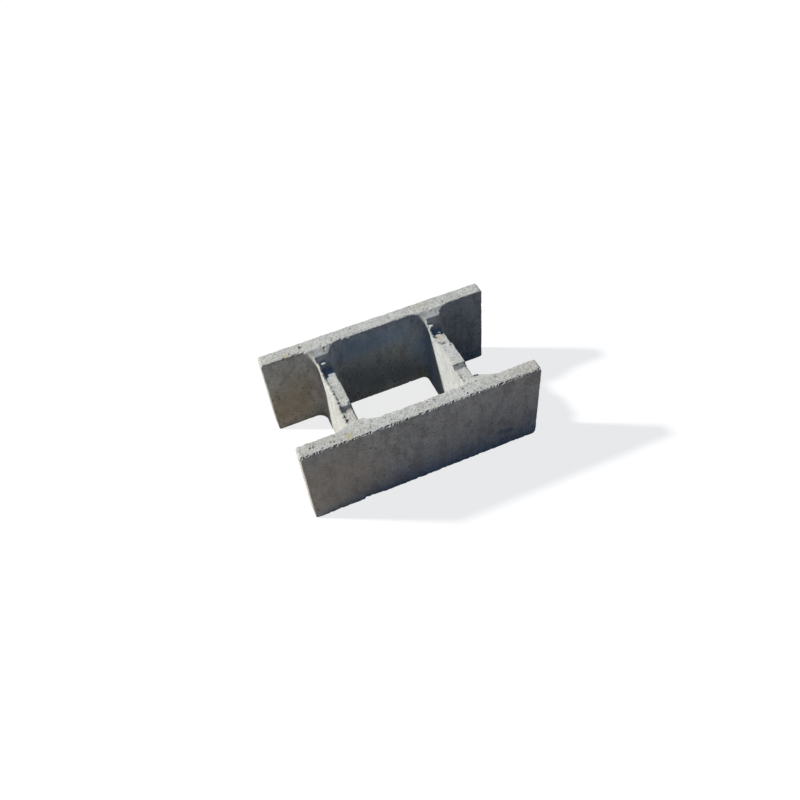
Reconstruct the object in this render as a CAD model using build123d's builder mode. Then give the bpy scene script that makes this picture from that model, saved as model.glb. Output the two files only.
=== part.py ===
from build123d import *
import os

# Concrete formwork block for a dry-stacked wall, cast as one piece: two face shells
# joined by two lowered webs. X runs along the course, Y across the wall and Z up.
# The origin is the middle of the underside. Lengths are millimetres.

# Overall size: one block is half a metre of a course
length = 500.0
width = 288.0
height = 200.0

# Face shells: their inner faces are drafted, so they are thicker at the underside
shell_top_thickness = 31.0
shell_bottom_thickness = 35.0

# Webs: drafted on both sides; the top value is where the drafted sides reach the shell tops
web_spacing = 250.0
web_top_thickness = 26.5
web_bottom_thickness = 36.0

# Corner radii in plan: the middle cell is closed all round, the end recesses are open.
# The corners flare towards the top, so that each web widens into the shells.
corner_top_radius = 32.0
cell_bottom_radius = 11.0
recess_bottom_radius = 21.0

# Below the notch floors, the drafted faces of the cores are parted at this depth
core_part_depth = 18.0

# Web tops: a sloped shoulder at each shell, then a notch for a bar on each side of a hump
shoulder_land = 1.0
shoulder_run = 17.0
shoulder_drop = 9.0
notch_wall_run = 4.0
notch_depth = 42.0
notch_round = 5.0
hump_foot_width = 76.0
hump_slope_run = 6.0
hump_rise = 9.0
hump_round = 4.0

# Rounding left by the mould: the ends of the shells in the side view, and the long and the
# upright outer edges
end_round = 5.0
arris_round = 2.0

os.makedirs("parts", exist_ok=True)

shoulder_top_y = width / 2 - shell_top_thickness - shoulder_land
shoulder_foot_y = shoulder_top_y - shoulder_run
notch_foot_y = shoulder_foot_y - notch_wall_run
hump_foot_y = hump_foot_width / 2
hump_top_y = hump_foot_y - hump_slope_run
shoulder_foot_z = height - shoulder_drop
notch_z = height - notch_depth
hump_z = notch_z + hump_rise

# Widths of the cores between the shells, and the heights at which their outline is drawn
core_bottom_width = width - 2 * shell_bottom_thickness
core_top_width = width - 2 * shell_top_thickness
core_levels = (0, notch_z - core_part_depth, height)

# Each core of the mould: its centre in X, its length at the underside and at the top,
# and its corner radius at the underside
cell_lengths = (web_spacing - web_bottom_thickness, web_spacing - web_top_thickness)
recess_lengths = (
    length - web_spacing - web_bottom_thickness,
    length - web_spacing - web_top_thickness,
)
cores = (
    (0, cell_lengths, cell_bottom_radius),
    (length / 2, recess_lengths, recess_bottom_radius),
    (-length / 2, recess_lengths, recess_bottom_radius),
)

with BuildPart() as formwork_block:
    # Section across the wall: half of it is drawn, with the shell at full height and
    # the web top beside it, and mirrored
    with BuildSketch(Plane.YZ):
        with BuildLine():
            half = FilletPolyline(
                (0, 0),
                (width / 2, 0),
                (width / 2, height),
                (shoulder_top_y, height),
                (shoulder_foot_y, shoulder_foot_z),
                (notch_foot_y, notch_z),
                (hump_foot_y, notch_z),
                (hump_top_y, hump_z),
                (0, hump_z),
                radius=(arris_round, arris_round, 0, 0, notch_round, notch_round, hump_round),
            )
            Line(half @ 1, half @ 0)
        make_face()
        mirror(about=Plane.YZ)
    extrude(amount=length / 2, both=True)

    # The drafted cores leave the middle cell, and half a cell at each end. Their faces run
    # straight from the underside to the top
    for core_x, (bottom_length, top_length), bottom_radius in cores:
        for level in core_levels:
            share = level / height
            with BuildSketch(Plane.XY.offset(level)):
                with Locations((core_x, 0)):
                    RectangleRounded(
                        bottom_length + share * (top_length - bottom_length),
                        core_bottom_width + share * (core_top_width - core_bottom_width),
                        bottom_radius + share * (corner_top_radius - bottom_radius),
                    )
        loft(ruled=True, mode=Mode.SUBTRACT)

    # The ends are rounded in plan and in the side view
    with BuildSketch(Plane.XY):
        RectangleRounded(length, width, arris_round)
    extrude(amount=height, mode=Mode.INTERSECT)
    with BuildSketch(Plane.XZ):
        with Locations((0, height / 2)):
            RectangleRounded(length, height, end_round)
    extrude(amount=width / 2, both=True, mode=Mode.INTERSECT)

formwork_block.part.label = "formwork_block"
export_step(formwork_block.part, "parts/formwork_block.step")
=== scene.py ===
# %% [markdown]
# # A concrete formwork block
# The block is one dry casting: two face shells and the two lowered webs between them. The CAD
# model already has its true size, drafts and notches. What it lacks is what the mould and the
# building site leave: crumbled arrises, feather edges, pits and the grain of the concrete.
# This script keeps the CAD block as its frame and makes that finish around it. Sizes and places on
# the block are in millimetres, and MM turns them into Blender's metres.

# %% Load the frame
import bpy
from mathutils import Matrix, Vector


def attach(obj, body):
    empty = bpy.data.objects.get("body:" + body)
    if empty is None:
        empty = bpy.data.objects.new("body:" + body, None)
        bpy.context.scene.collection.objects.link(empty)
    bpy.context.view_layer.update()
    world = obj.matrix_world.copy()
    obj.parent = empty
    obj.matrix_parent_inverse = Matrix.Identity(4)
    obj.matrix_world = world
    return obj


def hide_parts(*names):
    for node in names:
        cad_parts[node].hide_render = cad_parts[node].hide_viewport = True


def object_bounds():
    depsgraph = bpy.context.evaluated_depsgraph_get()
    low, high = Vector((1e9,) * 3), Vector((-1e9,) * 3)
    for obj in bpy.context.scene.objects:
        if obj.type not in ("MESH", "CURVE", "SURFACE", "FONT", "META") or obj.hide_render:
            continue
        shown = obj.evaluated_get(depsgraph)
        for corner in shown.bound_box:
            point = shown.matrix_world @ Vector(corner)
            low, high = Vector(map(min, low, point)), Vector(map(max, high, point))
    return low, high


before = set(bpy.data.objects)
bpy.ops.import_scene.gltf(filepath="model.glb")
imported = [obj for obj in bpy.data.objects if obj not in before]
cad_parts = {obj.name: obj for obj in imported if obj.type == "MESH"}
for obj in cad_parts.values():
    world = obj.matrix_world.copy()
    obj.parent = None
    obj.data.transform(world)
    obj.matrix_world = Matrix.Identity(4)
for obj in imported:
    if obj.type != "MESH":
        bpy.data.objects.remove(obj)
cad_low, cad_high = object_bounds()
print("CAD box in metres:", tuple(cad_low), tuple(cad_high))

# %% [markdown]
# The mesh is built with bmesh and shaped point by point, so that each mark of the real block is a
# few lines of plain arithmetic. The Standard view shows colours as they are written.

# %% Import the tools
import math
import random

import bmesh
import bpy
from mathutils import Matrix, Vector, kdtree, noise
from mathutils.bvhtree import BVHTree

MM = 0.001
scene = bpy.context.scene
scene.view_settings.view_transform = "Standard"
print("view transform:", scene.view_settings.view_transform)

# %% [markdown]
# ## The camera
# The photograph looks down on the block from its front left corner. The view could be matched by
# eye, but a small error there shifts every edge. So the camera's place, turn and focal length were
# worked out from the block's straight edges. A photograph is rarely level, which is why the turn has
# a small part about Y.

# %% Place the camera
# The place is in metres, the turn in degrees, and the lens and its sensor are in millimetres
camera_place = (-0.3265, -0.9925, 1.2942)
camera_turn = (40.672, 4.079, -22.964)
focal_length = 34.087
sensor_width = 36.0

lens = bpy.data.cameras.new("photo_camera")
lens.lens = focal_length
lens.sensor_width = sensor_width
camera = bpy.data.objects.new("photo_camera", lens)
camera.location = camera_place
camera.rotation_euler = [math.radians(angle) for angle in camera_turn]
scene.collection.objects.link(camera)
scene.camera = camera
print("camera at", camera_place, "m, with a focal length of", focal_length, "mm")

# %% [markdown]
# ## Helpers for nodes and colours
# Every material below is a handful of nodes. One small function adds a node, sets it and links
# it, so each line reads as what it does. Colours are written as the sRGB hex values of a paint
# program, and shaders work in linear light, so a second function turns one into the other. A third
# tells the rays that show the studio to the camera from those that light the block.

# %% Define the helpers
def linear(hex_colour):
    """A linear RGBA colour from an sRGB hex value, by the sRGB formula."""
    shares = [int(hex_colour[i:i + 2], 16) / 255 for i in (1, 3, 5)]
    return [s / 12.92 if s <= 0.04045 else ((s + 0.055) / 1.055) ** 2.4 for s in shares] + [1.0]


def add(tree, kind, sockets=None, **settings):
    """Adds a node; sockets gives each input a value, or the output that feeds it."""
    made = tree.nodes.new(kind)
    for name, value in settings.items():
        setattr(made, name, value)
    for key, value in (sockets or {}).items():
        if isinstance(value, bpy.types.NodeSocket):
            tree.links.new(value, made.inputs[key])
        else:
            made.inputs[key].default_value = value
    return made


def shown(tree):
    """1 for rays that show the surroundings to the camera, straight or by way of a mirror or glass."""
    rays = add(tree, "ShaderNodeLightPath")
    most = rays.outputs["Is Camera Ray"]
    for kind in ("Is Glossy Ray", "Is Transmission Ray"):
        pair = {0: most, 1: rays.outputs[kind]}
        most = add(tree, "ShaderNodeMath", pair, operation="MAXIMUM").outputs[0]
    return most


print("a mid grey, linear:", linear("#808080"))

# %% [markdown]
# ## Floor and light
# The floor is pale and plain. A curved backdrop would do as well, but a camera that looks down sees
# only floor, so one flat face is enough. The camera sees it nearly white, through the Light Path
# node, while the block gets the modest bounce of a grey floor. Some of what the camera sees is a lit
# diffuse surface, so the block's shadow stays on it.

# %% Make the floor
# Half of the floor's side, in metres
floor_half = 6.0
floor_glow_share = 0.8
floor_grey = "#B8AFA3"
studio_white = "#FFFFFF"

floor_shape = bmesh.new()
bmesh.ops.create_grid(floor_shape, x_segments=1, y_segments=1, size=floor_half)
floor_mesh = bpy.data.meshes.new("floor")
floor_shape.to_mesh(floor_mesh)
floor_shape.free()
floor = bpy.data.objects.new("floor", floor_mesh)
scene.collection.objects.link(floor)

floor_paint = bpy.data.materials.new("pale_studio_floor")
floor_paint.use_nodes = True
tree = floor_paint.node_tree
tree.nodes.clear()
bounce = add(tree, "ShaderNodeBsdfDiffuse", {"Color": linear(floor_grey)})
lit = add(tree, "ShaderNodeBsdfDiffuse", {"Color": linear(studio_white)})
glow = add(tree, "ShaderNodeEmission", {"Color": linear(studio_white), "Strength": 1.0})
seen = add(tree, "ShaderNodeMixShader", {0: floor_glow_share, 1: lit.outputs[0], 2: glow.outputs[0]})
either = add(tree, "ShaderNodeMixShader", {0: shown(tree), 1: bounce.outputs[0], 2: seen.outputs[0]})
add(tree, "ShaderNodeOutputMaterial", {"Surface": either.outputs[0]})
floor_mesh.materials.append(floor_paint)
print("floor:", 2 * floor_half, "m square")

# %% [markdown]
# The key light stands behind the block on its left and rather high, so the tops and the left sides
# of the webs are bright and the front is in open shade. An area lamp would fall off across the
# block, while a sun lamp with a wide disc is an even softbox at any distance. The world is the
# fill: a weak, cool dome, white only to the camera.

# %% Make the light
key_towards = Vector((-0.73, 0.38, 0.565))
key_strength = 5.9
# The lamp's disc, in degrees
key_disc = 4.0
key_colour = "#FFFEFA"
fill_strength = 0.164
fill_colour = "#72ABFF"

key_lamp = bpy.data.lights.new("key", "SUN")
key_lamp.energy = key_strength
key_lamp.angle = math.radians(key_disc)
key_lamp.color = linear(key_colour)[:3]
key = bpy.data.objects.new("key", key_lamp)
key.rotation_euler = key_towards.to_track_quat("Z", "Y").to_euler()
scene.collection.objects.link(key)

world = bpy.data.worlds.new("studio")
world.use_nodes = True
tree = world.node_tree
tree.nodes.clear()
fill = add(tree, "ShaderNodeBackground", {"Color": linear(fill_colour), "Strength": fill_strength})
white = add(tree, "ShaderNodeBackground", {"Color": linear(studio_white), "Strength": 1.0})
either = add(tree, "ShaderNodeMixShader", {0: shown(tree), 1: fill.outputs[0], 2: white.outputs[0]})
add(tree, "ShaderNodeOutputWorld", {"Surface": either.outputs[0]})
scene.world = world
print("key from", tuple(round(v, 2) for v in key_towards), "over a fill of", fill_strength)

# %% [markdown]
# ## The casting
# The finish could be bump in the material alone, but a broken edge has to show in the outline too,
# so it is modelled, and that takes a closed mesh. The CAD node is never changed: a copy of its loose
# triangles is merged into one skin, and what the mould left standing is added to that copy.

# %% Copy and merge the CAD mesh
merge_distance = 0.002

casting = bmesh.new()
casting.from_mesh(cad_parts["formwork_block"].data)
bmesh.ops.remove_doubles(casting, verts=casting.verts, dist=merge_distance * MM)
open_edges = sum(not edge.is_manifold for edge in casting.edges)
cad_surface = BVHTree.FromBMesh(casting)
print("casting:", len(casting.faces), "triangles,", open_edges, "open edges")

# %% [markdown]
# ### Feather edges on the webs
# Where the tamping head met the mould, wet mix was squeezed up into a thin ragged fin along the
# left edge of each web. It could be sculpted by hand, but a fin is only a height that changes along
# an edge. So it is a grid two rows high, bent to follow the web and then extruded. Two short rays
# find the web's top and its left side, so the fin grows from the casting itself.

# %% Add the feather edges
web_x = 125.0
fin_foot = 5.0
fin_steps = 110
fin_rag = 4.5
fin_rag_mean = 0.7
fin_rag_swing = 1.5
fin_tooth = 2.4
fin_tooth_swing = 0.35
fin_tooth_seed = 9
fin_least = 0.1
fin_loose = 4.0
probe_height = 250.0
probe_reach = 45.0
probe_drop = 3.0
# Heights of each fin at places across the wall, and then the fins: web, thickness and heights
left_heights = ((-92, 0), (-88, 2.6), (-70, 2.6), (-44, 3.2), (-34, 2.4), (30, 2.2), (44, 2),
                (60, 3), (66, 7), (74, 9), (79, 12), (82, 21), (88, 24), (90, 13), (94, 9),
                (94.5, 0))
right_heights = ((-92, 0), (-86, 2), (-60, 2), (-44, 1), (-36, 0), (60, 0), (66, 1.5), (70, 4),
                 (76, 6), (83, 14), (94, 14), (94.5, 0))
fins = ((-web_x, 5.2, left_heights), (web_x, 4.6, right_heights))


def between(table, place):
    """The value at a place, on straight runs between the table's points."""
    for (a, low), (b, high) in zip(table, table[1:]):
        if a <= place <= b:
            return low + (high - low) * (place - a) / (b - a)
    return 0.0


fin_crest = []
for middle, thickness, heights in fins:
    first, last = heights[0][0], heights[-1][0]
    grid = bmesh.ops.create_grid(casting, x_segments=fin_steps, y_segments=1, size=0.5)
    for vert in grid["verts"]:
        y = first + (last - first) * (vert.co.x + 0.5)
        rising = vert.co.y > 0
        above = Vector((middle, y, probe_height)) * MM
        top = cad_surface.ray_cast(above, Vector((0, 0, -1)))[0].z / MM
        beside = Vector((middle - probe_reach, y, top - probe_drop)) * MM
        side = cad_surface.ray_cast(beside, Vector((1, 0, 0)))[0].x / MM
        rag = fin_rag_mean + fin_rag_swing * noise.noise(Vector((y / fin_rag, middle, 0)))
        rag += fin_tooth_swing * noise.noise(Vector((y / fin_tooth, middle, fin_tooth_seed)))
        full = between(heights, y)
        rise = full + min(full, fin_loose) * (max(rag, fin_least) - 1) if rising else -fin_foot
        vert.co = Vector((side, y, top + rise)) * MM
        if rising:
            fin_crest.append(vert.co + Vector((thickness / 2, 0, 0)) * MM)
    faces = list({face for vert in grid["verts"] for face in vert.link_faces})
    grown = bmesh.ops.extrude_face_region(casting, geom=faces)["geom"]
    grown_verts = [item for item in grown if isinstance(item, bmesh.types.BMVert)]
    bmesh.ops.translate(casting, verts=grown_verts, vec=Vector((thickness, 0, 0)) * MM)
print("fins:", len(fins), "along the left edges of the webs")

# %% [markdown]
# The same mix left a few small lumps. A flattened icosphere is enough for each, because the remesh
# below melts it into the casting.

# %% Add the nibs
# Nibs in the far notches, at the near shoulder, on the left hump and at the far shell's inner edge:
# place and half sizes
nibs = (
    ((-128.5, 87.5, 175.4), (3.8, 6.0, 1.7)),
    ((-123.5, 88.5, 177.0), (3.8, 6.0, 1.7)),
    ((114.0, 88.0, 174.6), (3.4, 5.8, 1.5)),
    ((119.0, 88.5, 176.2), (3.2, 5.8, 1.5)),
    ((125.5, -94.5, 192.0), (11.0, 1.5, 3.2)),
    ((-119.5, -27.5, 160.5), (10.0, 7.5, 6.3)),
    ((-60.0, 112.5, 197.0), (4.0, 2.4, 2.2)),
)

for place, half_sizes in nibs:
    shape = Matrix.LocRotScale(Vector(place) * MM, None, Vector(half_sizes) * MM)
    bmesh.ops.create_icosphere(casting, subdivisions=2, radius=1.0, matrix=shape)
print("nibs of squeezed mix:", len(nibs))

# %% [markdown]
# ### One even skin
# Subdividing would keep the long thin triangles of the CAD mesh. A voxel remesh instead turns the
# casting, its fins and its nibs into one closed skin of small even faces, and takes the razor edge
# off every arris on the way. The voxels are narrower than the narrowest dent to come.

# %% Remesh the casting
voxel = 1.5

block_mesh = bpy.data.meshes.new("weathered_block")
casting.to_mesh(block_mesh)
casting.free()
block = bpy.data.objects.new("weathered_block", block_mesh)
scene.collection.objects.link(block)


def work_in_modifiers(piece):
    """Puts the result of the piece's modifiers into its mesh."""
    depsgraph = bpy.context.evaluated_depsgraph_get()
    mesh = bpy.data.meshes.new_from_object(piece.evaluated_get(depsgraph))
    piece.modifiers.clear()
    piece.data = mesh


remesh = block.modifiers.new("even_skin", "REMESH")
remesh.mode = "VOXEL"
remesh.voxel_size = voxel * MM
work_in_modifiers(block)
print("skin:", len(block.data.polygons), "faces of", voxel, "mm")

# %% [markdown]
# ### A worn hump end
# The near end of the right hump has worn down to an easy slope. A Boolean cut would leave a flat
# plane with new sharp edges, so the skin is pressed instead: any point above the slope comes
# straight down to it, and a little noise keeps the slope uneven.

# %% Slope the hump end
notch_floor = 158.0
slope_foot = Vector((web_x, -38.5, notch_floor))
slope_top_y = -29.5
slope_rise = 7.8
slope_reach = 30.0
slope_rag = 5.0
slope_swing = 0.8

sloped = 0
for vert in block.data.vertices:
    place = vert.co / MM
    if abs(place.x - slope_foot.x) > slope_reach or not slope_foot.y < place.y < slope_top_y:
        continue
    share = (place.y - slope_foot.y) / (slope_top_y - slope_foot.y)
    limit = slope_foot.z + slope_rise * share + slope_swing * noise.noise(place / slope_rag)
    if place.z > max(limit, slope_foot.z):
        vert.co.z = max(limit, slope_foot.z) * MM
        sloped += 1
print("hump end:", sloped, "points brought down to the slope")

# %% [markdown]
# ### Knocked end corners
# Corners are what a block is set down on and knocked against. At the shells' ends some top corners
# are round in plan, and the rounding fades out down the edge. A bevel would be the same from top to
# bottom, so here a point beyond a radius that changes with height is drawn in towards its centre.

# %% Round the end corners
shell_top = cad_high.z / MM
half_length = cad_high.x / MM
far_face = cad_high.y / MM
near_face = cad_low.y / MM
shell_thickness = 31.0
near_inner = near_face + shell_thickness
far_inner = far_face - shell_thickness
# Each corner: its place in X and Y, and its radius at the top; its shell lies towards lower Y
round_corners = (
    (-half_length, far_face, 9.0),
    (half_length, far_face, 7.0),
    (-half_length, near_inner, 5.0),
    (half_length, near_inner, 5.5),
)
round_fade = 80.0
round_rag = 9.0
round_swing = 0.25

rounded = 0
for corner_x, corner_y, top_radius in round_corners:
    outwards = math.copysign(1.0, corner_x)
    for vert in block.data.vertices:
        place = vert.co / MM
        if abs(place.x - corner_x) > top_radius or abs(place.y - corner_y) > top_radius:
            continue
        radius = top_radius * max(0.0, 1 - (shell_top - place.z) / round_fade)
        radius *= 1 + round_swing * noise.noise(place / round_rag)
        centre = Vector((corner_x - outwards * radius, corner_y - radius, place.z))
        away = place - centre
        if away.x * outwards > 0 and away.y > 0 and away.length > radius:
            vert.co = (centre + away.normalized() * radius) * MM
            rounded += 1
print("end corners:", rounded, "points drawn in")

# %% [markdown]
# ### Crumbled arrises
# Dry concrete breaks at its edges first, a sand grain or a small stone at a time. A bevel would
# round every edge alike. Instead, a smoothed copy of the skin shows where an edge would recede to,
# since smoothing hardly moves a flat face, and each point goes only some way towards its smoothed
# place. So the sharp places are kept, and then the whole skin is smoothed.

# %% Smooth the skin
smoothing_rounds = 16
smoothing_share = 0.5

skin = bmesh.new()
skin.from_mesh(block.data)
skin.normal_update()
sharp = [vert.co.copy() for vert in skin.verts]
for _ in range(smoothing_rounds):
    bmesh.ops.smooth_vert(skin, verts=skin.verts, factor=smoothing_share,
                          use_axis_x=True, use_axis_y=True, use_axis_z=True)
print("smoothed:", len(sharp), "points in", smoothing_rounds, "rounds")

# %% [markdown]
# A slow noise says where an edge is weak, and small Voronoi cells, each with its own share, stand
# for the grains that came away or stayed. The webs wear least and the near outer top edge most. The
# fins are thin enough to vanish, so their crests hardly wear at all.

# %% Wear the arrises
weak_stretch = 32.0
weak_mean = 0.45
weak_swing = 0.6
stone_size = 6.5
cell_shuffle = 37.0
grain_break = 3.0
grain_swing = 0.4
least_wear = 0.15
most_wear = 1.1
web_reach = 111.0
web_wear = 0.35
ragged_height = 194.0
ragged_band = (-145.0, -138.0)
ragged_wear = 1.7
fin_keep = 4.0
fin_wear = 0.12
flat_limit = 0.12
arris_limit = 0.8
most_worn = 2.0


def clamp(value, high=1.0):
    """The value, kept between 0 and a highest value."""
    return min(max(value, 0.0), high)


def chance(place, cell_size):
    """A random share from 0 to 1 that is the same all over one Voronoi cell."""
    nearest = noise.voronoi(place / cell_size)[1][0]
    return 0.5 + 0.5 * noise.cell(nearest * cell_shuffle)


def ragged(place):
    """Whether a place is at the near outer top arris, which lost the most grains."""
    return place.z > ragged_height and ragged_band[0] < place.y < ragged_band[1]


def crumble(place):
    """How far an edge has receded, as a share of its smoothing, at a place in millimetres."""
    weak = weak_mean + weak_swing * noise.noise(place / weak_stretch)
    grain = grain_swing * noise.noise(place / grain_break)
    share = clamp(least_wear + weak * chance(place, stone_size) ** 2 + grain, most_wear)
    if abs(place.y) < web_reach:
        return share * web_wear
    return share * ragged_wear if ragged(place) else share


def finder_of(found):
    """A search tree over some places."""
    finder = kdtree.KDTree(len(found))
    for index, place in enumerate(found):
        finder.insert(place, index)
    finder.balance()
    return finder


crest_finder = finder_of(fin_crest)
worn = 0.0
arris = []
for vert, place in zip(skin.verts, sharp):
    receded = vert.co - place
    if receded.length < flat_limit * MM:
        vert.co = place
        continue
    share = crumble(place / MM)
    if crest_finder.find(place)[2] < fin_keep * MM:
        share *= fin_wear
    elif receded.length > arris_limit * MM and receded.dot(vert.normal) < 0:
        arris.append(vert.index)
    step = min(receded.length * share, most_worn * MM)
    vert.co = place + receded.normalized() * step
    worn = max(worn, step)
skin.normal_update()
print("arrises receded by up to", round(worn / MM, 2), "mm at", len(arris), "points")

# %% [markdown]
# ### Grain and ripple
# The tops were tamped and are open and sandy, while the sides were drawn past the mould and are
# close and nearly flat. One Displace modifier would treat all faces alike, so each point is moved by
# what its own face calls for. All this relief goes inwards, so the block keeps its outer size. Where
# the tops are, and where grains were lost along the ragged edges, is kept on the mesh as attributes,
# which the material reads later.

# %% Roughen the faces
lowest_top = 150.0
level_from = 0.9
level_span = 0.06
sand_size = 2.8
sand_depth = 0.3
lost_grain_size = 4.0
lost_grain_depth = 0.6
lost_grain_from = 0.97
lump_size = 15.0
lump_depth = 0.3
ripple_width = 28.0
ripple_length = 120.0
ripple_depth = 0.6
ragged_edges = ((near_face, shell_top), (far_inner, shell_top))
socket_reach = 4.5
socket_stretch = 26.0
socket_mean = 0.45
socket_swing = 1.3
shoulder_half = 45.0

tamped_layer = skin.verts.layers.float.new("tamped")
socket_layer = skin.verts.layers.float.new("socket")


def tamped_share(normal, place):
    """1 on the tops of the shells and webs, 0 on the sides, the shoulders and the underside."""
    return 0.0 if place.z < lowest_top else clamp((normal.z - level_from) / level_span)


def socket_share(place):
    """How likely a grain was lost there: none away from the ragged edges and at the far shoulders."""
    if place.y > 0 and abs(abs(place.x) - web_x) < shoulder_half:
        return 0.0
    from_edge = min(math.hypot(place.y - y, place.z - z) for y, z in ragged_edges)
    weak = socket_mean + socket_swing * noise.noise(place / socket_stretch)
    return clamp(weak) * clamp(1 - from_edge / socket_reach)


def swell(place):
    """A smooth noise from 0 to 1."""
    return 0.5 + 0.5 * noise.noise(place)


for vert in skin.verts:
    place = vert.co / MM
    tamped = tamped_share(vert.normal, place)
    vert[tamped_layer] = tamped
    vert[socket_layer] = socket_share(place)
    if tamped > 0:
        lump = lump_depth * swell(place / lump_size)
        sand = sand_depth * swell(place / sand_size)
        lost = lost_grain_depth if chance(place, lost_grain_size) > lost_grain_from else 0.0
        vert.co -= vert.normal * tamped * (sand + lump + lost) * MM
    drawn = Vector((place.x / ripple_width, place.y / ripple_width, place.z / ripple_length))
    vert.co -= vert.normal * (1 - tamped) * (ripple_depth * swell(drawn)) * MM
print("faces roughened:", len(skin.verts), "points")

# %% [markdown]
# ### Pits and chips
# Dry-cast concrete is full of small holes, and its edges lose stones. Thousands of Boolean cuts
# would take minutes and leave a poor mesh. So each dent is pressed in with a ball whose surface is
# itself uneven: the points inside it move out to its surface. The larger dents are where the
# photograph has them.

# %% Press in the pits
hump_top = 167.0
hump_edge = 167.5
near_shoulder = 191.5
dent_rag = 2.6
dent_swing = 0.5
dent_search = 1.3
pit_shade = 0.85
# Pits on level faces: place in X and Y, height of the face, radius and depth
top_pits = (
    (-185.5, 121.1, shell_top, 2.2, 1.6),
    (-160.6, 129.7, shell_top, 3.6, 2.4),
    (89.5, 141.0, shell_top, 2.2, 1.6),
    (109.3, 142.8, shell_top, 2.2, 1.6),
    (198.9, 120.2, shell_top, 2.5, 2.0),
    (-223.5, -127.5, shell_top, 2.5, 1.6),
    (-217.5, -128.3, shell_top, 2.5, 1.6),
    (-184.5, -131.0, shell_top, 2.5, 1.9),
    (-179.0, -133.0, shell_top, 2.2, 1.6),
    (-152.8, -124.3, shell_top, 1.8, 1.3),
    (120.2, -114.1, shell_top, 2.5, 1.9),
    (90.4, -121.4, shell_top, 2.5, 1.9),
    (93.1, -135.8, shell_top, 2.5, 1.9),
    (121.4, -135.4, shell_top, 2.2, 1.8),
    (117.5, 51.0, notch_floor, 2.4, 2.4),
    (119.5, 46.5, notch_floor, 3.0, 3.4),
    (123.5, 45.0, notch_floor, 3.4, 4.4),
    (127.3, 46.0, notch_floor, 2.8, 3.2),
    (128.0, -96.2, near_shoulder, 2.0, 1.6),
    (132.5, -97.0, near_shoulder, 2.0, 1.6),
    (133.8, 26.0, hump_top, 3.0, 2.0),
    (-133.8, 15.0, hump_edge, 1.9, 2.0),
    (-134.0, 3.6, hump_edge, 1.9, 2.0),
    (-133.4, -9.4, hump_edge, 1.9, 2.0),
    (-133.1, -19.9, hump_edge, 2.1, 2.2),
    (-127.0, -42.0, notch_floor, 2.5, 2.0),
    (-130.5, -61.7, notch_floor, 3.0, 2.4),
    (-128.0, -80.0, notch_floor, 2.5, 2.0),
)
# Chips in the near bottom edge: place in X, radius and depth
bottom_chips = ((-139.0, 5.5, 5.4), (-134.0, 6.0, 5.6), (-128.5, 6.0, 5.0), (-122.5, 6.0, 4.0),
                (-115.0, 7.0, 3.0), (-106.0, 8.0, 2.2), (31.0, 8.0, 2.0), (190.0, 12.0, 1.4))

finder = finder_of([vert.co for vert in skin.verts])
skin.verts.ensure_lookup_table()
skin.normal_update()
hollow_layer = skin.verts.layers.float.new("hollow")


def press_ball(place, outwards, radius, depth, shade=0.0):
    """Presses in an uneven dent of that radius and depth, in millimetres, and marks it with a shade."""
    ball = (radius ** 2 + depth ** 2) / (2 * depth)
    centre = place + outwards * (ball - depth)
    for _, index, _ in finder.find_range(place * MM, dent_search * max(radius, depth) * MM):
        vert = skin.verts[index]
        away = vert.co / MM - centre
        reach = ball + dent_swing * depth * noise.noise(vert.co / MM / dent_rag)
        if away.length < reach:
            vert.co = (centre + away.normalized() * reach) * MM
            vert[hollow_layer] = max(vert[hollow_layer], shade)


for x, y, z, radius, depth in top_pits:
    press_ball(Vector((x, y, z)), Vector((0, 0, 1)), radius, depth, shade=pit_shade)
for x, radius, depth in bottom_chips:
    press_ball(Vector((x, near_face, 0)), Vector((0, -1, -1)).normalized(), radius, depth)
print("pits:", len(top_pits), "and chips in the bottom edge:", len(bottom_chips))

# %% [markdown]
# Along two stretches of the left web's right edge small pieces broke away in a row. A seeded scatter
# picks points of all the arrises for small chips, and the near outer top edge gets a second helping,
# pressed in from the front and above, like teeth.

# %% Chip the arrises
scatter_seed = 11
left_web_edge = -112.0
# Arrises that broke away in a row of small pieces: from, to, count, outwards, radius and depth
broken_arrises = (
    ((left_web_edge, -40.0, notch_floor), (left_web_edge, -90.0, notch_floor), 11, (1, 0, 1), 4.0, 1.6),
    ((left_web_edge, -34.0, 165.0), (left_web_edge, -26.0, hump_top), 3, (1, -0.5, 1), 5.0, 1.6),
)
broken_sizes = (0.75, 1.25)
chip_count = 3000
chip_radius = (1.2, 3.4)
chip_depths = (0.25, 0.6)
tooth_count = 110
tooth_radius = (1.3, 2.8)
tooth_depths = (0.5, 1.0)
tooth_lean = 0.5
# Shares of a chip's full depth: on the webs, low down, at the near outer top edge and at other tops
web_chip_share = 0.2
low_chip_share = 0.4
near_chip_share = 0.7
top_chip_share = 0.6
low_height = 185.0
near_edge = -135.0


def chipped(place):
    """The share of a chip's full depth: the near top arris has lost most, the webs least."""
    if abs(place.y) < web_reach:
        return web_chip_share
    if place.z < low_height:
        return low_chip_share
    return near_chip_share if place.y < near_edge else top_chip_share


def mostly_small(sizes):
    """A random size between two, with more small ones than large ones."""
    return sizes[0] + (sizes[1] - sizes[0]) * scatter.random() ** 2


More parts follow.
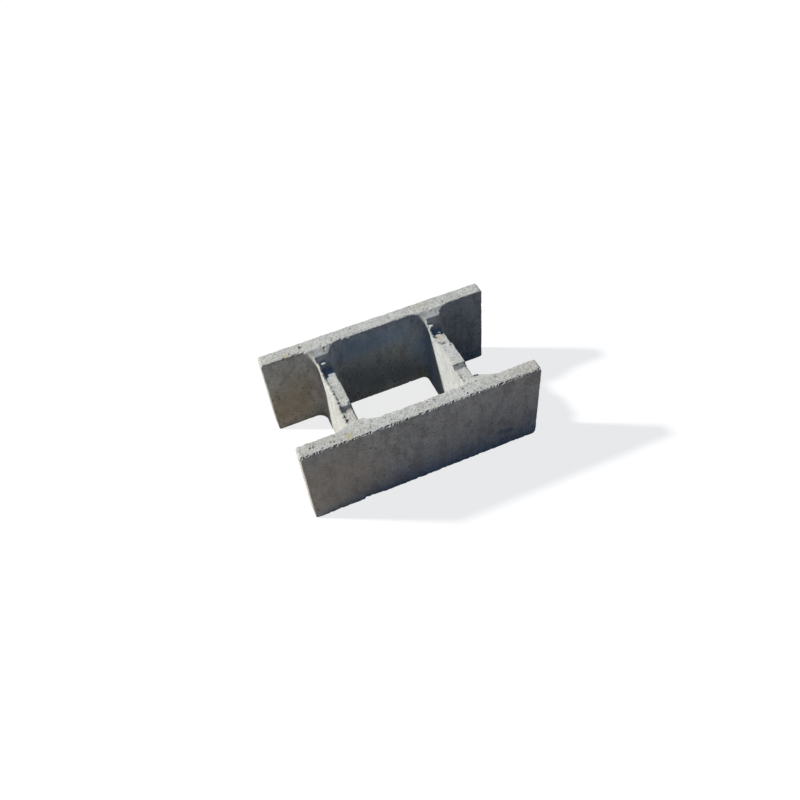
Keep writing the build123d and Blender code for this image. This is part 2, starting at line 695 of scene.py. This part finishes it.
scatter = random.Random(scatter_seed)
for start, end, count, outwards, radius, depth in broken_arrises:
    for number in range(count):
        place = Vector(start).lerp(Vector(end), number / (count - 1))
        size = scatter.uniform(*broken_sizes)
        press_ball(place, Vector(outwards).normalized(), radius * size, depth * size)
for index in scatter.sample(arris, chip_count):
    place = skin.verts[index].co / MM
    radius = mostly_small(chip_radius)
    depth = radius * scatter.uniform(*chip_depths)
    press_ball(place, skin.verts[index].normal.copy(), radius, depth * chipped(place))
toothed = [index for index in arris if ragged(skin.verts[index].co / MM)]
for index in scatter.sample(toothed, tooth_count):
    radius = scatter.uniform(*tooth_radius)
    outwards = Vector((scatter.uniform(-tooth_lean, tooth_lean), -1, 1)).normalized()
    press_ball(skin.verts[index].co / MM, outwards, radius, radius * scatter.uniform(*tooth_depths))
print("chips:", chip_count, "and teeth:", tooth_count)

# %% [markdown]
# Last come the small air voids that such concrete has on all its faces, scattered over the whole
# skin by the same seeded generator.

# %% Scatter the voids
void_count = 420
void_radius = (1.3, 3.2)
void_depths = (0.5, 0.9)
void_shade = 0.3

for index in scatter.sample(range(len(skin.verts)), void_count):
    vert = skin.verts[index]
    radius = mostly_small(void_radius)
    depth = radius * scatter.uniform(*void_depths)
    press_ball(vert.co / MM, vert.normal.copy(), radius, depth, shade=void_shade)
print("voids:", void_count)

# %% [markdown]
# ### Keep the size, thin the mesh
# The CAD box is the block's real size, so any point that left it goes back to it. The skin has far
# more faces than its flat parts need, and a coarser remesh would lose the pits. Decimation takes
# faces away where the skin is flat and keeps them at the edges and pits.

# %% Fit and thin the skin
most_triangles = 190000
crisp_angle = 42.0

for vert in skin.verts:
    for axis in range(3):
        vert.co[axis] = min(max(vert.co[axis], cad_low[axis]), cad_high[axis])
bmesh.ops.triangulate(skin, faces=skin.faces)
all_triangles = len(skin.faces)
skin.to_mesh(block.data)
skin.free()
thin = block.modifiers.new("thin", "DECIMATE")
thin.ratio = min(1.0, most_triangles / all_triangles)
work_in_modifiers(block)
block.data.polygons.foreach_set("use_smooth", [True] * len(block.data.polygons))
block.data.set_sharp_from_angle(angle=math.radians(crisp_angle))
print("block:", all_triangles, "triangles thinned to", len(block.data.polygons))

# %% [markdown]
# ## Dry-cast concrete
# The material is zero-slump concrete: grey cement paste with crushed sand, tamped and stripped from
# the mould at once. It is matt and slightly warm. Pictures of concrete could be projected on it, but
# noise in three dimensions has no seams and runs round every corner. The paste comes first, clouded
# at two sizes. Each further mark is a share between 0 and 1 that lays one more colour over it.

# %% Mix the cement paste
paste_grey = "#A9AAA6"
paste_pale = "#C4C5C0"
cloud_size = 70.0
blotch_size = 14.0
blotch_share = 0.6
# Of a Mix node that mixes colours: the inputs for the two colours, and the output
UNDER, OVER, MIXED = 6, 7, 2

concrete = bpy.data.materials.new("dry_cast_concrete")
concrete.use_nodes = True
tree = concrete.node_tree
tree.nodes.clear()
places = add(tree, "ShaderNodeTexCoord").outputs["Object"]
tamped = add(tree, "ShaderNodeAttribute", attribute_name="tamped").outputs["Fac"]
clouds = add(tree, "ShaderNodeTexNoise",
             {"Vector": places, "Scale": 1 / (cloud_size * MM), "Detail": 3.0})
blotches = add(tree, "ShaderNodeTexNoise",
               {"Vector": places, "Scale": 1 / (blotch_size * MM), "Detail": 5.0, "Roughness": 0.65})
clouded = add(tree, "ShaderNodeMix",
              {"Factor": blotch_share, "A": clouds.outputs["Fac"], "B": blotches.outputs["Fac"]})
paste_share = add(tree, "ShaderNodeMapRange",
                  {"Value": clouded.outputs[0], "From Min": 0.36, "From Max": 0.64})
colour = add(tree, "ShaderNodeMix",
             {0: paste_share.outputs[0], UNDER: linear(paste_grey), OVER: linear(paste_pale)},
             data_type="RGBA").outputs[MIXED]
print("paste:", len(tree.nodes), "nodes")

# %% [markdown]
# ### Brown clouds and drag marks
# Fine clay in the sand leaves wide, faint brown clouds. The sides were drawn past the mould, which
# leaves short upright drag marks: a noise that is longer along Z than across, and weak on the tops.
# The attribute on the mesh says which face is which, so the marks stay with the piece.

# %% Lay on the brown clouds and the drag marks
stain_brown = "#A69C8B"
stain_size = 140.0
stain_most = 0.45
drag_grey = "#8E8D88"
drag_width = 17.0
drag_length = 36.0
drag_most = 0.62
drag_on_tops = 0.25

brown_clouds = add(tree, "ShaderNodeTexNoise",
                   {"Vector": places, "Scale": 1 / (stain_size * MM), "Detail": 4.0})
brown_share = add(tree, "ShaderNodeMapRange", {"Value": brown_clouds.outputs["Fac"], "From Min": 0.5,
                                               "From Max": 0.75, "To Max": stain_most})
colour = add(tree, "ShaderNodeMix",
             {0: brown_share.outputs[0], UNDER: colour, OVER: linear(stain_brown)},
             data_type="RGBA").outputs[MIXED]

drag_scale = (1 / (drag_width * MM), 1 / (drag_width * MM), 1 / (drag_length * MM))
drag = add(tree, "ShaderNodeMapping", {"Vector": places, "Scale": drag_scale})
drags = add(tree, "ShaderNodeTexNoise",
            {"Vector": drag.outputs[0], "Scale": 1.0, "Detail": 4.0, "Roughness": 0.6})
drag_share = add(tree, "ShaderNodeMapRange", {"Value": drags.outputs["Fac"], "From Min": 0.46,
                                              "From Max": 0.6, "To Max": drag_most})
on_sides = add(tree, "ShaderNodeMapRange", {"Value": tamped, "To Min": 1.0, "To Max": drag_on_tops})
drag_tint = add(tree, "ShaderNodeMath", {0: drag_share.outputs[0], 1: on_sides.outputs[0]},
                operation="MULTIPLY")
colour = add(tree, "ShaderNodeMix",
             {0: drag_tint.outputs[0], UNDER: colour, OVER: linear(drag_grey)},
             data_type="RGBA").outputs[MIXED]
print("clouds and drag marks:", len(tree.nodes), "nodes so far")

# %% [markdown]
# ### Sand grains
# The tamped tops show single grains, while on the drawn sides the paste half hides them. Grains could
# be strewn as small solids, but there would be far too many. So each cell of a Voronoi pattern is a
# grain with a random colour: low values of its red become dark grains, and high ones pale grains.

# %% Strew the sand
grain_dark = "#857E6E"
grain_pale = "#D0CBBA"
# Crushed sand is mostly under 2 mm; it is drawn a little coarser, so that it shows in the render
grain_size = 2.2
grain_on_sides = 0.46
grain_on_tops = 0.68

grains = add(tree, "ShaderNodeTexVoronoi", {"Vector": places, "Scale": 1 / (grain_size * MM)})
grain_pick = add(tree, "ShaderNodeSeparateColor", {0: grains.outputs["Color"]})
grain_show = add(tree, "ShaderNodeMapRange",
                 {"Value": tamped, "To Min": grain_on_sides, "To Max": grain_on_tops})
for none_at, all_at, grain in ((0.30, 0.05, grain_dark), (0.70, 0.95, grain_pale)):
    picked = add(tree, "ShaderNodeMapRange",
                 {"Value": grain_pick.outputs["Red"], "From Min": none_at, "From Max": all_at})
    share = add(tree, "ShaderNodeMath", {0: picked.outputs[0], 1: grain_show.outputs[0]},
                operation="MULTIPLY")
    colour = add(tree, "ShaderNodeMix", {0: share.outputs[0], UNDER: colour, OVER: linear(grain)},
                 data_type="RGBA").outputs[MIXED]
print("sand:", len(tree.nodes), "nodes so far")

# %% [markdown]
# ### Small voids
# Voids too small to model are dark spots in some cells of a second, wider Voronoi pattern, and their
# dark is painted shade inside the holes. Each has its own size, and a noise shifts the coordinates a
# little, so that no spot is round. The drawn sides show more of them, and darker ones.

# %% Dot in the small voids
# Painted shade in the small voids; the same dark also colours the modelled pits below
void_dark = "#55534E"
void_spacing = 8.0
void_rag = 3.0
# The radius of the largest spot and its soft edge, as shares of the spacing
void_largest = 0.33
void_edge = 0.08
void_from_on_sides = 0.4
void_from_on_tops = 0.6
void_on_sides = 0.85
void_on_tops = 0.54

rag_noise = add(tree, "ShaderNodeTexNoise",
                {"Vector": places, "Scale": 1 / (grain_size * MM), "Detail": 2.0})
rag_shift = add(tree, "ShaderNodeVectorMath", {0: rag_noise.outputs["Color"], "Scale": void_rag * MM},
                operation="SCALE")
ragged_places = add(tree, "ShaderNodeVectorMath", {0: places, 1: rag_shift.outputs[0]},
                    operation="ADD").outputs[0]
voids = add(tree, "ShaderNodeTexVoronoi", {"Vector": ragged_places, "Scale": 1 / (void_spacing * MM)})
void_pick = add(tree, "ShaderNodeSeparateColor", {0: voids.outputs["Color"]})
void_from = add(tree, "ShaderNodeMapRange",
                {"Value": tamped, "To Min": void_from_on_sides, "To Max": void_from_on_tops})
void_reach = add(tree, "ShaderNodeMapRange", {"Value": void_pick.outputs["Green"], "To Max": void_largest,
                                              "From Min": void_from.outputs[0], "From Max": 1.0})
void_inside = add(tree, "ShaderNodeMath", {0: void_reach.outputs[0], 1: voids.outputs["Distance"]},
                  operation="SUBTRACT")
void_share = add(tree, "ShaderNodeMapRange",
                 {"Value": void_inside.outputs[0], "From Min": 0.0, "From Max": void_edge})
void_show = add(tree, "ShaderNodeMapRange",
                {"Value": tamped, "To Min": void_on_sides, "To Max": void_on_tops})
void_tint = add(tree, "ShaderNodeMath", {0: void_share.outputs[0], 1: void_show.outputs[0]},
                operation="MULTIPLY")
colour = add(tree, "ShaderNodeMix", {0: void_tint.outputs[0], UNDER: colour, OVER: linear(void_dark)},
             data_type="RGBA").outputs[MIXED]
print("small voids:", len(tree.nodes), "nodes so far")

# %% [markdown]
# ### Dirt and painted shade in the hollows
# The modelled pits and voids are darkened for the dirt they hold and as painted shade inside them, and
# the sockets of lost grains along the ragged edges are darkened with painted shade. Both are marked on
# the mesh, so two attributes say where the dark colours go.

# %% Darken the pits and sockets
hollow_dirt_and_shade_most = 0.9
# Painted shade in the sockets of lost grains along the ragged edges
socket_painted_shade = "#4A4741"
socket_size = 3.0
# More than 1 and clamped later, so that a socket is quite dark a little way from the edge too
socket_most = 1.5

# Dirt and painted shade inside the modelled pits and voids
hollow = add(tree, "ShaderNodeAttribute", attribute_name="hollow").outputs["Fac"]
hollow_dirt_and_shade = add(tree, "ShaderNodeMath", {0: hollow, 1: hollow_dirt_and_shade_most}, operation="MULTIPLY")
colour = add(tree, "ShaderNodeMix",
             {0: hollow_dirt_and_shade.outputs[0], UNDER: colour, OVER: linear(void_dark)},
             data_type="RGBA").outputs[MIXED]

socket_near = add(tree, "ShaderNodeAttribute", attribute_name="socket").outputs["Fac"]
socket_noise = add(tree, "ShaderNodeTexNoise",
                   {"Vector": places, "Scale": 1 / (socket_size * MM), "Detail": 2.0})
socket_pick = add(tree, "ShaderNodeMapRange", {"Value": socket_noise.outputs["Fac"], "From Min": 0.5,
                                               "From Max": 0.62, "To Max": socket_most})
socket_shade_share = add(tree, "ShaderNodeMath", {0: socket_pick.outputs[0], 1: socket_near},
                  operation="MULTIPLY", use_clamp=True)
colour = add(tree, "ShaderNodeMix",
             {0: socket_shade_share.outputs[0], UNDER: colour, OVER: linear(socket_painted_shade)},
             data_type="RGBA").outputs[MIXED]
print("dirt:", len(tree.nodes), "nodes so far")

# %% [markdown]
# ### Stains and painted shade
# A picture could be painted for these, but it would need an unwrapped mesh. Here each stain is a soft
# ball of colour, set where the photograph shows it: its share is full near the middle and fades to
# nothing at its radius. Earth and cement skim are wide, damp lies in three small patches on the near
# face, a pale grey lightens the far shoulders and ochre sits at single stones. Other balls are painted
# shade and painted sky light: wide blue-grey balls darken the shaded far wall of the middle cell, umber
# darkens and warms the shaded far wall of the left recess, and pale blues tint the shaded top of the
# middle cell's far wall and the shaded far end of the right web. A ball reaches through a shell, so the
# back of the block has some of the same colours.

# %% Lay on the stains and the painted shade
# Umber: earth, and painted shade with a warm cast in the far left recess
umber_earth_and_shade = "#7A6A52"
tan = "#B5A68E"
# Painted shade on the middle cell's far wall, and damp in three small patches on the near face
damp_and_painted_shade = "#556170"
# Painted sky light in shade: a blue for the shaded far end of the right web
painted_skylight_deep = "#8CA9C6"
# Painted sky light in shade: a pale blue for the top of the middle cell's far wall
painted_skylight_pale = "#93B3CD"
skim = "#BABCBA"
shoulder_pale = "#DDDDD5"
ochre = "#AFA378"
# The share of its radius within which a ball of colour is full
ball_core = 0.3
# Places in X of the painted sky light along the top of the far wall
skylight_row = (-70.0, -42.0, -14.0, 14.0, 42.0, 70.0)
# Stains and painted shade: place, radius, colour and strength
stains_and_painted_shade = (
    # Painted shade with a warm cast: umber on the shaded far wall of the left recess
    ((-215.0, 100.0, 60.0), 95.0, umber_earth_and_shade, 0.6),
    ((-180.0, 105.0, 130.0), 60.0, umber_earth_and_shade, 0.3),
    ((-190.0, -150.0, 90.0), 140.0, tan, 0.35),
    ((205.0, -128.0, shell_top), 95.0, umber_earth_and_shade, 0.1),
    # Painted shade: wide blue-grey balls on the shaded far wall of the middle cell
    ((-45.0, 72.0, 60.0), 92.0, damp_and_painted_shade, 0.7),
    ((25.0, 72.0, 60.0), 92.0, damp_and_painted_shade, 0.7),
    ((62.0, 78.0, 40.0), 62.0, damp_and_painted_shade, 0.75),
    # Painted sky light: pale blue on the shaded far end of the right web
    ((100.0, 100.0, 110.0), 45.0, painted_skylight_deep, 0.55),
    ((100.0, 85.0, 65.0), 45.0, painted_skylight_deep, 0.55),
    ((100.0, 62.0, 34.0), 38.0, painted_skylight_deep, 0.55),
    # Painted sky light: pale blue along the shaded top of the middle cell's far wall
    *(((x, 80.0, 165.0), 55.0, painted_skylight_pale, 0.45) for x in skylight_row),
    ((110.0, 0.0, 80.0), 115.0, skim, 0.6),
    ((-145.0, -10.0, 80.0), 110.0, skim, 0.3),
    # A pale grey on the far shoulders
    ((-web_x, 99.0, 190.0), 20.0, shoulder_pale, 0.45),
    ((web_x, 99.0, 190.0), 20.0, shoulder_pale, 0.5),
    ((166.0, near_face, 50.5), 10.0, damp_and_painted_shade, 0.6),
    ((178.0, near_face, 47.0), 11.0, damp_and_painted_shade, 0.6),
    ((189.0, near_face, 44.5), 9.0, damp_and_painted_shade, 0.55),
    ((-193.5, 120.2, shell_top), 8.0, ochre, 0.7),
    ((-147.8, -130.1, shell_top), 10.0, ochre, 0.7),
    ((124.5, 66.0, notch_floor), 9.0, ochre, 0.7),
    ((23.8, near_face, 145.4), 4.0, ochre, 0.7),
    ((132.7, near_face, 161.1), 4.0, ochre, 0.7),
)

for place, radius, ball_colour, strength in stains_and_painted_shade:
    apart = add(tree, "ShaderNodeVectorMath", {0: ragged_places, 1: Vector(place) * MM},
                operation="DISTANCE")
    share = add(tree, "ShaderNodeMapRange", {"Value": apart.outputs["Value"], "From Min": radius * MM,
                                             "From Max": ball_core * radius * MM, "To Max": strength})
    colour = add(tree, "ShaderNodeMix",
                 {0: share.outputs[0], UNDER: colour, OVER: linear(ball_colour)},
                 data_type="RGBA").outputs[MIXED]
print("stains:", len(stains_and_painted_shade))

# %% [markdown]
# ### Grit and gloss
# What is finer than the mesh is bump: a gritty noise, and the small voids pressed in. Concrete is
# mineral, with an IOR near 1.5, but its dusty surface scatters nearly all light, so the roughness is
# high and the mirror share is far below that of a polished stone.

# %% Finish the shader
# Real grit is finer; it is drawn as coarse as it needs to be to show in the render
grit_size = 1.2
grit_strength = 0.6
void_strength = 0.8
bump_height = 1.0

grit = add(tree, "ShaderNodeTexNoise",
           {"Vector": places, "Scale": 1 / (grit_size * MM), "Detail": 3.0, "Roughness": 0.7})
grit_bump = add(tree, "ShaderNodeBump", {"Height": grit.outputs["Fac"], "Strength": grit_strength,
                                         "Distance": bump_height * MM})
void_bump = add(tree, "ShaderNodeBump", {"Height": void_share.outputs[0], "Strength": void_strength,
                                         "Distance": bump_height * MM, "Normal": grit_bump.outputs[0]},
                invert=True)
shader = add(tree, "ShaderNodeBsdfPrincipled",
             {"Base Color": colour, "Roughness": 0.93, "IOR": 1.5, "Specular IOR Level": 0.12,
              "Normal": void_bump.outputs[0]})
add(tree, "ShaderNodeOutputMaterial", {"Surface": shader.outputs[0]})
block.data.materials.clear()
block.data.materials.append(concrete)
print("concrete:", len(tree.nodes), "nodes in all")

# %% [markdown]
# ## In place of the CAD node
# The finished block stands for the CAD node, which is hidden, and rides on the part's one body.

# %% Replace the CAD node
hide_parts("formwork_block")
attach(block, "root")
